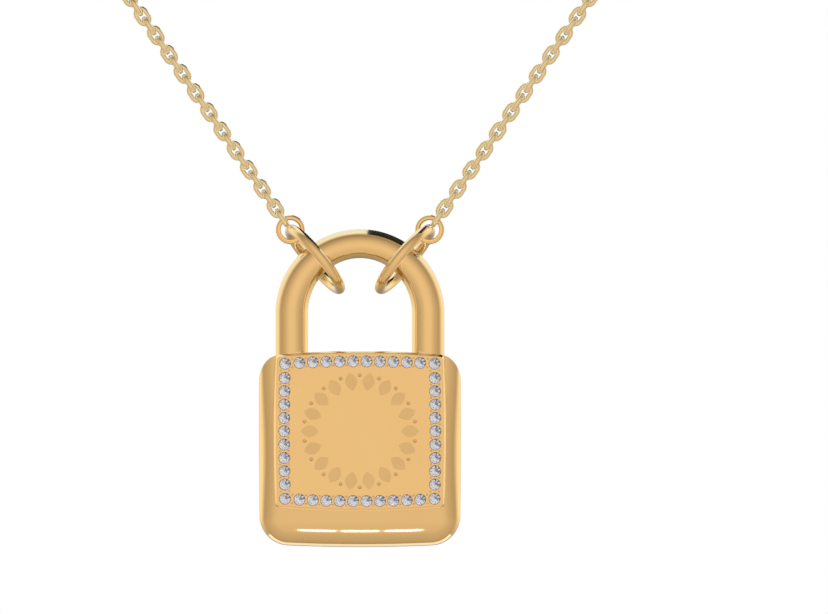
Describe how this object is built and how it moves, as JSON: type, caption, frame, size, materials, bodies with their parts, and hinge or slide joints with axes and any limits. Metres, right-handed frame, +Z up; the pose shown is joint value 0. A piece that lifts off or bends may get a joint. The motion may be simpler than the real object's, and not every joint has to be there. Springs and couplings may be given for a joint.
{
  "type": "padlock pendant necklace",
  "caption": "Gold padlock pendant with a stone-set front plate, hung by two jump rings on a fine cable chain.",
  "frame": {"origin": "centre of the clasp at the nape, at the back and top of the loop, where the necklace is held", "axes": "+Z up, -Y the way the padlock's front faces, +X to the right seen from the front"},
  "size_m": [0.125, 0.114, 0.1364],
  "materials": {
    "polished_gold": "polished yellow gold",
    "clear_stone": "clear brilliant-cut stone"
  },
  "bodies": {
    "necklace": {"bail_ring_left": "polished_gold", "bail_ring_right": "polished_gold", "link_ring_left": "polished_gold", "link_ring_right": "polished_gold", "chain_left": "polished_gold", "chain_right": "polished_gold", "clasp": "polished_gold"},
    "padlock": {"case": "polished_gold", "front_plate": "polished_gold", "shackle": "polished_gold", "border_stones": "clear_stone"}
  },
  "joints": [
    {"name": "pendant_swing", "type": "hinge", "parent": "necklace", "child": "padlock", "pos_m": [0, -0.1092, -0.1069], "axis": [1, 0, 0], "range_deg": [-45, 45]}
  ]
}
